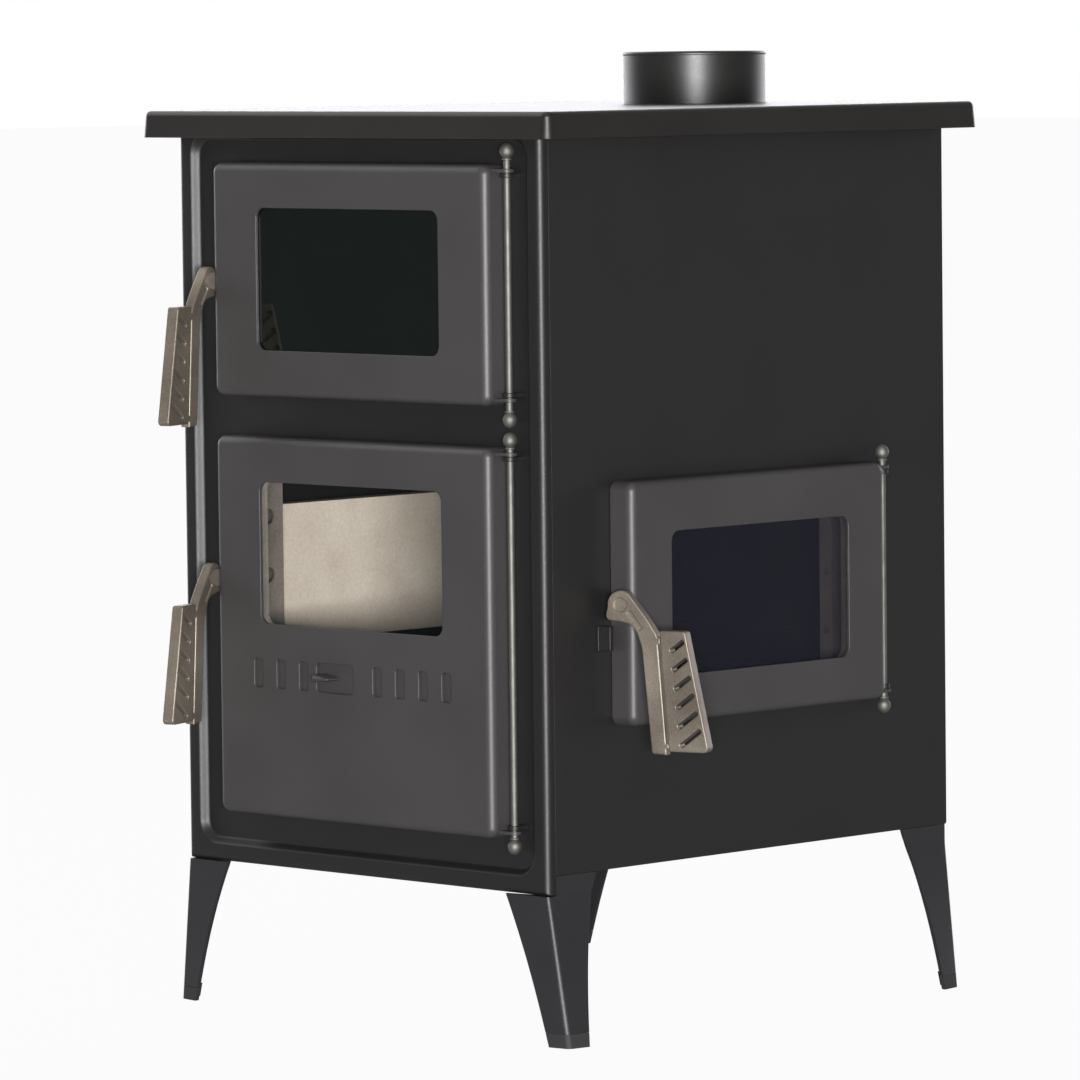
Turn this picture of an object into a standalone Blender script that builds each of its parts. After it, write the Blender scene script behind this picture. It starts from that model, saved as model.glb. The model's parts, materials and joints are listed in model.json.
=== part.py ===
"""Wood burning stove with an oven: welded steel case on splayed legs, three glazed doors and a flue collar.

Units are metres and +Z is up. The front faces -Y and the loading door is on the +X side.
Shapes are laid out about the middle of the case; one empty then centres the whole stove on its footprint.
"""

import math

import bmesh
import bpy
from mathutils import Matrix, Vector

# ---------------------------------------------------------------- driving dimensions
GAP = 0.0003                 # clearance between pieces that touch
SHEET = 0.003                # case and door sheet

CASE_WIDTH = 0.450
CASE_DEPTH = 0.513
CASE_BOTTOM = 0.146          # lower edge of the side panels
APRON_BOTTOM = 0.129         # lower edge of the front panel
PLATE_TOP = 0.7955
PLATE_RIM = 0.0235
PLATE_OVERHANG_X = 0.0284
PLATE_OVERHANG_Y = 0.0194
PLATE_DRAFT = 0.002          # the rim leans out this much towards its lower edge

COLLAR_RADIUS = 0.065
COLLAR_WALL = 0.004
COLLAR_Y = 0.174
COLLAR_TOP = 0.842

FRONT_BORDER = 0.018
FRONT_RECESS = 0.007
FRONT_THICKNESS = 0.010

DOOR_THICKNESS = 0.026
DOOR_EDGE_RADIUS = 0.004
DOOR_WINDOW = (0.226, 0.1245)
GLASS_LAP = 0.010
GLASS_THICKNESS = 0.004
RETAINER_WIDTH = 0.016
SEAL_WIDTH = 0.010
SEAL_THICKNESS = 0.008

FRONT_DOOR_X = (-0.163, 0.178)
UPPER_DOOR_Z = (0.5455, 0.7508)
LOWER_DOOR_Z = (0.1765, 0.5105)
SIDE_DOOR_Y = (-0.176, 0.149)
SIDE_DOOR_Z = (0.269, 0.479)
UPPER_WINDOW_Z = 0.6490
LOWER_WINDOW_Z = 0.4090
SIDE_WINDOW_Z = 0.3722
DOOR_LAP = 0.0165            # how far a door covers the case around its opening

HINGE_OFFSET = 0.012         # hinge rod axis from the door's edge
HINGE_STANDOFF = 0.011       # hinge rod axis from the panel
ROD_RADIUS = 0.003
FINIAL_RADIUS = 0.0062
FINIAL_STANDOFF = 0.012      # finial centre beyond the door's edge
SIDE_FINIAL_STANDOFF = 0.0085
LUG_RADIUS = 0.0062
LUG_THICKNESS = 0.003

HANDLE_TILT = math.radians(18)
HANDLE_STANDOFF = 0.0095     # middle of the lever from the door's edge
HANDLE_INSET = 0.003         # pivot axis behind the door's face
HANDLE_DROP_UPPER = 0.6462
HANDLE_DROP_LOWER = 0.3843
HANDLE_DROP_SIDE = 0.3750
BOSS_RADIUS = 0.0125
ARM_THICKNESS = 0.009
GRIP_THICKNESS = 0.011

SLOT_WIDTH = 0.011
SLOT_HEIGHT = 0.026
SLOT_PITCH = 0.0283
SLOT_Z = 0.303
SLOT_OFFSETS = (-0.117, -0.0885, -0.060, 0.032, 0.060, 0.0885, 0.117)
KNOB_WINDOW = (-0.044, 0.002)
KNOB_WIDTH = 0.022
KNOB_OFFSET = -0.029
KNOB_REACH = 0.012
SLIDER_TRAVEL = 0.014

LEG_SPLAY_X = 0.018          # how far a leg leans out sideways at the floor
LEG_SPLAY_Y = -0.0055        # and lengthways; less than nought leans in
LEG_SHEET = 0.003
LEG_FOOT = (0.0215, 0.022)   # widths of the two flanges at the floor, and at the case
LEG_TOP = (0.0575, 0.060)
LEG_OPENING = 0.15           # slope by which each flange opens outwards at the floor
FOOT_HEIGHT = 0.012
FOOT_WALL = 0.005

HEARTH_Z = 0.282
HEARTH_THICKNESS = 0.008
LINER_Z = (0.319, 0.4424)
LINER_FACE_X = -0.185
BAFFLE_Z = 0.520
PAN_X = (-0.110, 0.124)
PAN_Z = (0.1985, 0.2600)
RACK_X = (-0.1425, 0.128)

HALF_X = CASE_WIDTH / 2
HALF_Y = CASE_DEPTH / 2
PANEL_Y = -HALF_Y + FRONT_RECESS          # plane the front doors close against
PANEL_TOP = PLATE_TOP - SHEET - GAP

# ---------------------------------------------------------------- scene and materials
for leftover in list(bpy.data.objects):
    bpy.data.objects.remove(leftover, do_unlink=True)

stove = bpy.data.collections.new("wood_burning_stove")
bpy.context.scene.collection.children.link(stove)


def material(name, color, roughness, metallic=0.0, alpha=1.0):
    """A Principled BSDF of one colour."""
    made = bpy.data.materials.new(name)
    made.use_nodes = True
    shader = made.node_tree.nodes["Principled BSDF"]
    shader.inputs["Base Color"].default_value = (*color, 1.0)
    shader.inputs["Roughness"].default_value = roughness
    shader.inputs["Metallic"].default_value = metallic
    shader.inputs["Alpha"].default_value = alpha
    return made


CASE_PAINT = material("case_paint", (0.030, 0.031, 0.031), 0.55, 0.2)
DOOR_PAINT = material("door_paint", (0.072, 0.072, 0.074), 0.48, 0.2)
COLLAR_PAINT = material("collar_paint", (0.035, 0.035, 0.036), 0.35, 0.2)
CHROME = material("chrome", (0.62, 0.62, 0.60), 0.18, 1.0)
NICKEL = material("satin_nickel", (0.30, 0.27, 0.24), 0.35, 1.0)
CAST_IRON = material("cast_iron", (0.020, 0.020, 0.021), 0.80, 0.3)
INNER_STEEL = material("inner_steel", (0.12, 0.11, 0.10), 0.60, 0.8)
GLASS = material("ceramic_glass", (0.010, 0.014, 0.016), 0.05, 0.0, 0.55)
BOARD = material("vermiculite_board", (0.56, 0.47, 0.38), 0.95)
ROPE = material("seal_rope", (0.42, 0.40, 0.36), 1.0)
RUBBER = material("foot_rubber", (0.020, 0.020, 0.020), 0.85)


def empty(name, location, parent=None):
    """A frame that pieces hang from."""
    made = bpy.data.objects.new(name, None)
    made.empty_display_size = 0.03
    stove.objects.link(made)
    made.parent = parent
    made.location = Vector(location) - (world_place(parent) if parent else Vector())
    return made


def world_place(holder):
    """Where an empty lies, following its parents. No empty is turned."""
    place = Vector(holder.location)
    while holder.parent:
        holder = holder.parent
        place += holder.location
    return place


# ---------------------------------------------------------------- shape helpers
FRONT = Matrix(((1, 0, 0, 0), (0, 0, 1, 0), (0, 1, 0, 0), (0, 0, 0, 1)))      # outline (x, z), depth along Y
SIDE = Matrix(((0, 0, 1, 0), (1, 0, 0, 0), (0, 1, 0, 0), (0, 0, 0, 1)))       # outline (y, z), depth along X
FLAT = Matrix.Identity(4)                                                    # outline (x, y), depth along Z


def rectangle(left, right, low, high):
    """Corners of an upright rectangle."""
    return [(left, low), (right, low), (right, high), (left, high)]


def arc(center, radius, start, end, steps):
    """Points on an arc, angles in degrees."""
    points = []
    for step in range(steps + 1):
        angle = math.radians(start + (end - start) * step / steps)
        points.append((center[0] + radius * math.cos(angle), center[1] + radius * math.sin(angle)))
    return points


def rounded_rectangle(left, right, low, high, radius, steps=3):
    """A rectangle with round corners."""
    centers = [(left + radius, low + radius), (right - radius, low + radius),
               (right - radius, high - radius), (left + radius, high - radius)]
    points = []
    for corner, center in enumerate(centers):
        start = 180 + 90 * corner
        points += arc(center, radius, start, start + 90, steps)
    return points


def slab(name, outlines, low, high, way=FLAT):
    """A flat plate of the given outlines (the first is its edge, the others are holes), from low to high."""
    curve = bpy.data.curves.new(name, "CURVE")
    curve.dimensions = "2D"
    curve.fill_mode = "BOTH"
    curve.extrude = (high - low) / 2
    for outline in outlines:
        spline = curve.splines.new("POLY")
        spline.points.add(len(outline) - 1)
        for point, (across, up) in zip(spline.points, outline):
            point.co = (across, up, 0, 1)
        spline.use_cyclic_u = True
    holder = bpy.data.objects.new(name, curve)
    bpy.context.scene.collection.objects.link(holder)
    mesh = evaluated_mesh(holder)
    bpy.data.objects.remove(holder, do_unlink=True)
    bpy.data.curves.remove(curve)
    mesh.transform(way @ Matrix.Translation((0, 0, (low + high) / 2)))
    return mesh_object(name, tidy_mesh(mesh))


def box(name, x, y, z):
    """A block between two values on each axis."""
    work = bmesh.new()
    bmesh.ops.create_cube(work, size=1.0)
    size = Matrix.Diagonal((x[1] - x[0], y[1] - y[0], z[1] - z[0], 1))
    middle = Matrix.Translation(((x[0] + x[1]) / 2, (y[0] + y[1]) / 2, (z[0] + z[1]) / 2))
    bmesh.ops.transform(work, matrix=middle @ size, verts=work.verts)
    return bmesh_object(name, work)


def cylinder(name, start, end, radius, steps=16):
    """A round bar between two points."""
    start, end = Vector(start), Vector(end)
    work = bmesh.new()
    bmesh.ops.create_cone(work, cap_ends=True, segments=steps, radius1=radius, radius2=radius,
                          depth=(end - start).length)
    turn = (end - start).to_track_quat("Z", "Y").to_matrix().to_4x4()
    bmesh.ops.transform(work, matrix=Matrix.Translation((start + end) / 2) @ turn, verts=work.verts)
    return bmesh_object(name, work)


def turned(name, profile, center, steps):
    """A profile of (radius, height) points, top to bottom down its outer side, spun about an upright axis."""
    mesh = bpy.data.meshes.new(name)
    points = [(radius, 0, height) for radius, height in profile]
    mesh.from_pydata(points, [(i, i + 1) for i in range(len(points) - 1)], [])
    made = mesh_object(name, mesh)
    screw = made.modifiers.new("turn", "SCREW")
    screw.steps = screw.render_steps = steps
    screw.use_merge_vertices = True
    screw.merge_threshold = 0.00001
    bake(made)
    tidy_mesh(made.data)
    made.data.transform(Matrix.Translation((center[0], center[1], 0)))
    return made


def loft(name, sections):
    """A closed solid through rings of points that all have the same count."""
    count = len(sections[0])
    points = [point for section in sections for point in section]
    faces = [tuple(range(count)), tuple(range(len(points) - count, len(points)))]
    for level in range(len(sections) - 1):
        for i in range(count):
            a = level * count + i
            b = level * count + (i + 1) % count
            faces.append((a, b, b + count, a + count))
    mesh = bpy.data.meshes.new(name)
    mesh.from_pydata(points, [], faces)
    return mesh_object(name, tidy_mesh(mesh))


def tidy_mesh(mesh):
    """Welds a mesh and turns its faces outwards."""
    work = bmesh.new()
    work.from_mesh(mesh)
    bmesh.ops.remove_doubles(work, verts=work.verts, dist=0.00001)
    bmesh.ops.recalc_face_normals(work, faces=work.faces)
    work.to_mesh(mesh)
    work.free()
    return mesh


def bmesh_object(name, work):
    """Stores a bmesh as a new object."""
    mesh = bpy.data.meshes.new(name)
    bmesh.ops.recalc_face_normals(work, faces=work.faces)
    work.to_mesh(mesh)
    work.free()
    return mesh_object(name, mesh)


def mesh_object(name, mesh):
    """A new object in the stove's collection."""
    made = bpy.data.objects.new(name, mesh)
    stove.objects.link(made)
    return made


def evaluated_mesh(made):
    """The mesh of an object with its modifiers worked out."""
    bpy.context.view_layer.update()
    graph = bpy.context.evaluated_depsgraph_get()
    return bpy.data.meshes.new_from_object(made.evaluated_get(graph), depsgraph=graph)


def bake(made):
    """Replaces an object's mesh by its evaluated one."""
    mesh = evaluated_mesh(made)
    made.modifiers.clear()
    made.data = mesh
    mesh.name = made.name


def combine(made, others, operation):
    """Cuts or joins closed meshes, which are used up."""
    for other in others:
        step = made.modifiers.new(operation.lower(), "BOOLEAN")
        step.operation = operation
        step.solver = "EXACT"
        step.object = other
    bake(made)
    for other in others:
        bpy.data.objects.remove(other, do_unlink=True)
    return made


def cut(made, *others):
    return combine(made, others, "DIFFERENCE")


def join(made, *others):
    return combine(made, others, "UNION")


def finish(made, finish_material, parent, origin=None):
    """Sets a piece's finish, its parent and its own origin."""
    place = world_place(parent)
    origin = Vector(origin) if origin is not None else place
    made.data.transform(Matrix.Translation(-origin))
    made.parent = parent
    made.location = origin - place
    made.data.materials.clear()
    made.data.materials.append(finish_material)
    for face in made.data.polygons:
        face.material_index = 0
    made.data.shade_smooth()
    made.data.set_sharp_from_angle(angle=math.radians(28))
    return made


center = empty("stove_center", (0, 0, 0))

# ---------------------------------------------------------------- case


def top_plate():
    """A pan-shaped cooking plate with a drafted rim and a hole for the flue collar."""
    outer = (HALF_X + PLATE_OVERHANG_X, HALF_Y + PLATE_OVERHANG_Y)
    rim_low = PLATE_TOP - PLATE_RIM
    round_corner = 0.006

    def ring(inset, height):
        edge = rounded_rectangle(-outer[0] + inset, outer[0] - inset, -outer[1] + inset, outer[1] - inset,
                                 round_corner)
        return [(x, y, height) for x, y in edge]

    bend = 0.004
    chamfer = bend * 0.3
    plate = loft("top_plate", [ring(0, rim_low), ring(PLATE_DRAFT, PLATE_TOP - bend),
                               ring(PLATE_DRAFT + chamfer, PLATE_TOP - chamfer),
                               ring(PLATE_DRAFT + bend, PLATE_TOP)])
    hollow = loft("plate_hollow", [ring(SHEET, rim_low - 0.01),
                                   ring(PLATE_DRAFT + SHEET, PLATE_TOP - SHEET)])
    bore = cylinder("plate_bore", (0, COLLAR_Y, PLATE_TOP - 0.02), (0, COLLAR_Y, PLATE_TOP + 0.02),
                    COLLAR_RADIUS + GAP, 36)
    finish(cut(plate, hollow, bore), CASE_PAINT, center)


def flue_collar():
    """A plain spigot that stands through the top plate, with a stop ring under it."""
    outer, inner = COLLAR_RADIUS, COLLAR_RADIUS - COLLAR_WALL
    stop = PLATE_TOP - SHEET - GAP
    low = PLATE_TOP - 0.022
    chamfer = 0.001
    profile = [(inner, COLLAR_TOP), (outer - chamfer, COLLAR_TOP), (outer, COLLAR_TOP - chamfer), (outer, stop),
               (outer + 0.008, stop), (outer + 0.008, stop - 0.003), (outer, stop - 0.003), (outer, low),
               (inner, low), (inner, COLLAR_TOP)]
    finish(turned("flue_collar", profile, (0, COLLAR_Y), 36), COLLAR_PAINT, center)


def opening(door_low, door_high, lap=DOOR_LAP):
    """The hole that a door closes, along one direction."""
    return door_low + lap, door_high - lap


def front_panel():
    """The front: a raised border around a recess, with the oven's and the firebox's openings."""
    back = -HALF_Y + FRONT_THICKNESS
    edge = [(-HALF_X, back), (-HALF_X, -HALF_Y + 0.004)]
    edge += arc((-HALF_X + 0.004, -HALF_Y + 0.004), 0.004, 180, 270, 3)[1:]
    edge += arc((HALF_X - 0.004, -HALF_Y + 0.004), 0.004, 270, 360, 3)
    edge += [(HALF_X, back)]
    panel = slab("front_panel", [edge], APRON_BOTTOM, PANEL_TOP)
    inner = HALF_X - FRONT_BORDER
    low = APRON_BOTTOM + FRONT_BORDER
    recess = slab("front_recess", [rounded_rectangle(-inner, inner, low, PANEL_TOP + 0.03, 0.008)],
                  -HALF_Y - 0.01, PANEL_Y, FRONT)
    left, right = opening(*FRONT_DOOR_X)
    holes = []
    for low, high in (UPPER_DOOR_Z, LOWER_DOOR_Z):
        low, high = opening(low, high)
        hole = rounded_rectangle(left, right, low, high, 0.006, 2)
        holes.append(slab("front_opening", [hole], -HALF_Y - 0.02, 0, FRONT))
    finish(cut(panel, recess, *holes), CASE_PAINT, center)


def side_panels():
    """Flat side sheets; the right one has the loading door's opening."""
    front, back = -HALF_Y + FRONT_THICKNESS + GAP, HALF_Y
    edge = rectangle(front, back, CASE_BOTTOM, PANEL_TOP)
    hole = rounded_rectangle(*opening(*SIDE_DOOR_Y), *opening(*SIDE_DOOR_Z), 0.006, 2)
    left = slab("side_panel_left", [edge], -HALF_X, -HALF_X + SHEET, SIDE)
    right = slab("side_panel_right", [edge, hole], HALF_X - SHEET, HALF_X, SIDE)
    finish(left, CASE_PAINT, center)
    finish(right, CASE_PAINT, center)


def rear_and_base():
    """The rear sheet and the floor of the case."""
    inside = HALF_X - SHEET - GAP
    edge = rectangle(-inside, inside, CASE_BOTTOM, PANEL_TOP)
    rear = slab("rear_panel", [edge], HALF_Y - SHEET, HALF_Y, FRONT)
    finish(rear, CASE_PAINT, center)
    front, back = -HALF_Y + FRONT_THICKNESS + GAP, HALF_Y - SHEET - GAP
    base = slab("base_panel", [rectangle(-inside, inside, front, back)], CASE_BOTTOM, CASE_BOTTOM + SHEET)
    finish(base, CASE_PAINT, center)


def leg_section(side, end, height, wall):
    """One level of a folded leg: an L whose flanges widen in a curve and close to a right angle upwards."""
    climb = height / CASE_BOTTOM
    share = 0.55 * climb + 0.45 * climb ** 2.4
    wide, deep = [foot + (top - foot) * share for foot, top in zip(LEG_FOOT, LEG_TOP)]
    lean = max(0, 1 - height / APRON_BOTTOM)
    fold_x = HALF_X + LEG_SPLAY_X * lean
    fold_y = HALF_Y + LEG_SPLAY_Y * lean
    slope = LEG_OPENING * lean
    ring = [(wide, 0), (LEG_SHEET, 0), (0, LEG_SHEET), (0, deep), (wall, deep), (wall, wall), (wide, wall)]
    return [(side * (fold_x - x + slope * y), end * (fold_y - y + slope * x), height) for x, y in ring]


def leg(name, side, end):
    """A folded L-shaped leg. It leans out sideways and its two flanges widen upwards to the case."""
    heights = (FOOT_HEIGHT + GAP, 0.040, 0.070, 0.100, APRON_BOTTOM, CASE_BOTTOM - GAP)
    made = loft(name, [leg_section(side, end, height, LEG_SHEET) for height in heights])
    if end < 0:
        panel_back = -HALF_Y + FRONT_THICKNESS + GAP
        cut(made, box("apron_room", (-1, 1), (-1, panel_back), (APRON_BOTTOM - GAP, 1)))
    finish(made, CASE_PAINT, center)


def legs():
    """Four legs with a cap under each, level with the leg's faces."""
    for side, side_name in ((-1, "left"), (1, "right")):
        for end, end_name in ((-1, "front"), (1, "rear")):
            leg(f"leg_{end_name}_{side_name}", side, end)
            foot = loft(f"foot_{end_name}_{side_name}",
                        [leg_section(side, end, height, FOOT_WALL) for height in (0, FOOT_HEIGHT)])
            finish(foot, RUBBER, center)


# ---------------------------------------------------------------- inside the case


def oven_box():
    """The oven: an open-fronted steel box with a rib on each side for the rack."""
    left, right = opening(*FRONT_DOOR_X)
    low, high = opening(*UPPER_DOOR_Z)
    wall = 0.0025
    front, back = -HALF_Y + FRONT_THICKNESS + GAP, 0.085
    outer = box("oven_box", (left - wall, right + wall), (front, back), (low - wall, high + wall))
    rib_z = (low + high) / 2 - 0.010
    rib = 0.006
    hollow = box("oven_hollow", (left, right), (front - 0.01, back - wall), (low, high))
    ribs = []
    for x in ((left - 0.001, left + rib), (right - rib, right + 0.001)):
        ribs.append(box("oven_rib", x, (front + 0.002, back - wall - 0.004), (rib_z - 0.004, rib_z)))
    finish(join(cut(outer, hollow), *ribs), INNER_STEEL, center)
    return rib_z


def oven_rack(parent, rib_z):
    """A slotted shelf that rests on the oven's ribs."""
    left, right = RACK_X
    front, back = PANEL_Y + 0.004, 0.060
    holes = []
    count = 7
    pitch = (right - left - 0.016) / count
    for i in range(count):
        low = left + 0.008 + pitch * i
        holes.append(rectangle(low + 0.004, low + pitch - 0.004, front + 0.012, back - 0.012))
    rack = slab("oven_rack", [rectangle(left, right, front, back), *holes], rib_z + GAP, rib_z + 0.0045)
    finish(rack, CHROME, parent, (0, front, rib_z))


def baffle():
    """The throat plate over the fire, open towards the rear."""
    inside = HALF_X - SHEET - 0.002
    front = -HALF_Y + FRONT_THICKNESS + 0.002
    plate = slab("baffle_plate", [rectangle(-inside, inside, front, 0.13)], BAFFLE_Z, BAFFLE_Z + 0.006)
    finish(plate, CAST_IRON, center)


def hearth():
    """The firebox floor with ledges for the wall boards, and the grate let into it."""
    inside = HALF_X - SHEET - 0.002
    front, back = -HALF_Y + FRONT_THICKNESS + 0.002, HALF_Y - SHEET - 0.002
    top = HEARTH_Z + HEARTH_THICKNESS
    seat = rectangle(-0.112, 0.112, -0.165, 0.125)
    floor = slab("hearth_plate", [rectangle(-inside, inside, front, back), seat], HEARTH_Z, top)
    rise = LINER_Z[0] - GAP
    ledge_z = (HEARTH_Z + 0.001, rise)
    left_ledge = box("left_ledge", (LINER_FACE_X - 0.022, LINER_FACE_X), (-0.169, back - 0.001), ledge_z)
    rear_ledge = box("rear_ledge", (LINER_FACE_X - 0.001, inside - 0.001), (0.190, 0.212), ledge_z)
    finish(join(floor, left_ledge, rear_ledge), CAST_IRON, center)

    edge = rectangle(-0.112 + GAP * 2, 0.112 - GAP * 2, -0.165 + GAP * 2, 0.125 - GAP * 2)
    slots = []
    for i in range(7):
        y = -0.150 + 0.0385 * i
        slots.append(rectangle(-0.098, 0.098, y, y + 0.022))
    grate = slab("grate", [edge, *slots], HEARTH_Z - 0.004, top - 0.001)
    finish(grate, CAST_IRON, center)


def liners():
    """Insulating board on the left wall of the firebox and a cast plate on its rear wall."""
    low, high = LINER_Z
    board = box("liner_board_left", (LINER_FACE_X - 0.020, LINER_FACE_X - 0.0005), (-0.170, 0.189), (low, high))
    finish(board, BOARD, center)
    plate = box("liner_plate_rear", (LINER_FACE_X + 0.002, 0.214), (0.192, 0.210), (low, BAFFLE_Z - 0.015))
    finish(plate, CAST_IRON, center)


def air_post(name, x, y, top, drill):
    """A square tube that feeds air to the fire through a row of holes on one face."""
    wall = 0.002
    low = HEARTH_Z + HEARTH_THICKNESS + GAP
    tube = box(name, x, y, (low, top))
    hollow = box("post_hollow", (x[0] + wall, x[1] - wall), (y[0] + wall, y[1] - wall),
                 (low - 0.01, top + 0.01))
    holes = [hollow]
    for i in range(4):
        z = 0.3281 + 0.0521 * i
        start, end, radius = drill(z)
        holes.append(cylinder("post_hole", start, end, radius, 12))
    finish(cut(tube, *holes), INNER_STEEL, center)


def air_posts():
    """One post in front of the wall board, one beside the loading opening."""
    front = ((-0.212, LINER_FACE_X), (-0.2005, -0.1725))

    def drill_front(z):
        return (LINER_FACE_X - 0.012, -0.1900, z), (LINER_FACE_X + 0.004, -0.1900, z), 0.0070

    air_post("air_post_front", *front, BAFFLE_Z - GAP, drill_front)
    rear = ((0.186, 0.2005), (0.1325, 0.1530))

    def drill_rear(z):
        return (0.1935, 0.128, z), (0.1935, 0.140, z), 0.0035

    air_post("air_post_rear", *rear, BAFFLE_Z - GAP, drill_rear)


def ash_shelf():
    """The shelf that the ash pan slides on, with a low fence on each side."""
    left, right = PAN_X[0] - 0.012, PAN_X[1] + 0.012
    front, back = -HALF_Y + FRONT_THICKNESS + 0.002, 0.200
    low = PAN_Z[0] - GAP
    edge = [(left, low - 0.004), (right, low - 0.004), (right, low + 0.012), (right - 0.004, low + 0.012),
            (right - 0.004, low), (left + 0.004, low), (left + 0.004, low + 0.012), (left, low + 0.012)]
    finish(slab("ash_shelf", [edge], front, back, FRONT), INNER_STEEL, center)


def ash_pan(parent):
    """An open steel pan with a bent grip across its front."""
    left, right = PAN_X
    low, high = PAN_Z
    front, back = PANEL_Y + 0.006, 0.130
    wall = 0.002
    pan = box("ash_pan", (left, right), (front, back), (low, high))
    hollow = box("pan_hollow", (left + wall, right - wall), (front + wall, back - wall),
                 (low + wall, high + 0.01))
    cut(pan, hollow)
    grip = box("pan_grip", (-0.035, 0.049), (front - 0.003, front + 0.0005), (high - 0.016, high - 0.004))
    finish(join(pan, grip), INNER_STEEL, parent, (0, front, low))


# ---------------------------------------------------------------- doors
# A door is laid out flat and facing -Y: (across, up) in its own face, depth from its back (0) to its face.


class Door:
    """Where a door lies and how its own directions map to the stove."""

    def __init__(self, name, across, up, window, facing):
        self.name = name
        self.low, self.high = across
        self.bottom, self.top = up
        middle = (self.low + self.high) / 2
        half = DOOR_WINDOW[0] / 2
        self.middle = middle
        self.window = (middle - half, middle + half, window - DOOR_WINDOW[1] / 2, window + DOOR_WINDOW[1] / 2)
        self.facing = facing
        self.hinge_across = self.high + HINGE_OFFSET
        self.hinge = self.point(self.hinge_across, HINGE_STANDOFF, 0)

    def point(self, across, out, up):
        """World point for a place across the door, out from the panel it closes on, and up."""
        if self.facing == "front":
            return Vector((across, PANEL_Y - out, up))
        return Vector((HALF_X + out, across, up))

    def slab(self, name, outlines, low, high):
        """A plate parallel to the door, between two distances from the panel."""
        if self.facing == "front":
            return slab(name, outlines, PANEL_Y - high, PANEL_Y - low, FRONT)
        return slab(name, outlines, HALF_X + low, HALF_X + high, SIDE)

    def box(self, name, across, out, up):
        """A block given across the door, out from the panel and up."""
        a = self.point(across[0], out[0], up[0])
        b = self.point(across[1], out[1], up[1])
        return box(name, *[sorted(pair) for pair in zip(a, b)])

    def tab(self, name, across, out, radius, low, high, bore):
        """A level plate from a block's edge to a round end about the hinge axis, with a bore in it."""
        cx, cy = self.hinge.x, self.hinge.y
        a = self.point(across[0], out[0], 0)
        b = self.point(across[1], out[1], 0)
        arm = box(name, *[sorted(pair) for pair in zip(a, b)][:2], (low, high))
        eye = cylinder("tab_eye", (cx, cy, low), (cx, cy, high), radius, 20)
        hole = cylinder("tab_bore", (cx, cy, low - 0.01), (cx, cy, high + 0.01), bore, 16)
        return cut(join(arm, eye), hole)


def door_shell(door, parent, extra_cutter=None):
    """A folded pan with a window, soft outer edges and two hinge lugs."""
    inset = SHEET
    face = DOOR_THICKNESS
    outline = rounded_rectangle(door.low, door.high, door.bottom, door.top, DOOR_EDGE_RADIUS, 3)
    softened = rounded_rectangle(door.low + 0.0015, door.high - 0.0015, door.bottom + 0.0015, door.top - 0.0015,
                                 DOOR_EDGE_RADIUS, 3)
    faced = rounded_rectangle(door.low + 0.005, door.high - 0.005, door.bottom + 0.005, door.top - 0.005,
                              DOOR_EDGE_RADIUS, 3)
    rings = [(outline, GAP), (outline, face - 0.005), (softened, face - 0.0015), (faced, face)]
    shell = loft(door.name + "_shell", [[door.point(a, out, z) for a, z in ring] for ring, out in rings])
    inner = rounded_rectangle(door.low + inset, door.high - inset, door.bottom + inset, door.top - inset,
                              0.002, 1)
    hollow = door.slab("shell_hollow", [inner], -0.01, face - inset)
    window = door.slab("shell_window", [rounded_rectangle(*door.window, 0.009, 4)], face - 0.01, face + 0.01)
    cutters = [hollow, window]
    if extra_cutter:
        cutters.append(extra_cutter)
    cut(shell, *cutters)
    reach = (door.high - 0.002, door.hinge_across)
    out = (HINGE_STANDOFF - LUG_RADIUS, HINGE_STANDOFF + LUG_RADIUS)
    for low in (door.bottom + DOOR_EDGE_RADIUS, door.top - DOOR_EDGE_RADIUS - LUG_THICKNESS):
        join(shell, door.tab("lug", reach, out, LUG_RADIUS, low, low + LUG_THICKNESS, ROD_RADIUS + 2 * GAP))
    finish(shell, DOOR_PAINT, parent)


def door_glass(door, parent):
    """The pane behind the window, its retaining frame and the rope seal around the door's back."""
    left, right, low, high = door.window
    back_of_face = DOOR_THICKNESS - SHEET
    pane = rounded_rectangle(left - GLASS_LAP, right + GLASS_LAP, low - GLASS_LAP, high + GLASS_LAP, 0.004, 2)
    glass_back = back_of_face - GAP - GLASS_THICKNESS
    finish(door.slab(door.name + "_glass", [pane], glass_back, back_of_face - GAP), GLASS, parent)
    wide = RETAINER_WIDTH
    frame = [rounded_rectangle(left - wide, right + wide, low - wide, high + wide, 0.006, 2),
             rounded_rectangle(left - 0.001, right + 0.001, low - 0.001, high + 0.001, 0.009, 3)]
    finish(door.slab(door.name + "_glass_frame", frame, glass_back - GAP - 0.003, glass_back - GAP),
           INNER_STEEL, parent)
    edge = SHEET + 0.0005
    rope = [rounded_rectangle(door.low + edge, door.high - edge, door.bottom + edge, door.top - edge, 0.006, 2),
            rounded_rectangle(door.low + edge + SEAL_WIDTH, door.high - edge - SEAL_WIDTH,
                              door.bottom + edge + SEAL_WIDTH, door.top - edge - SEAL_WIDTH, 0.004, 2)]
    finish(door.slab(door.name + "_seal", rope, 2 * GAP, SEAL_THICKNESS), ROPE, parent)


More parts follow.
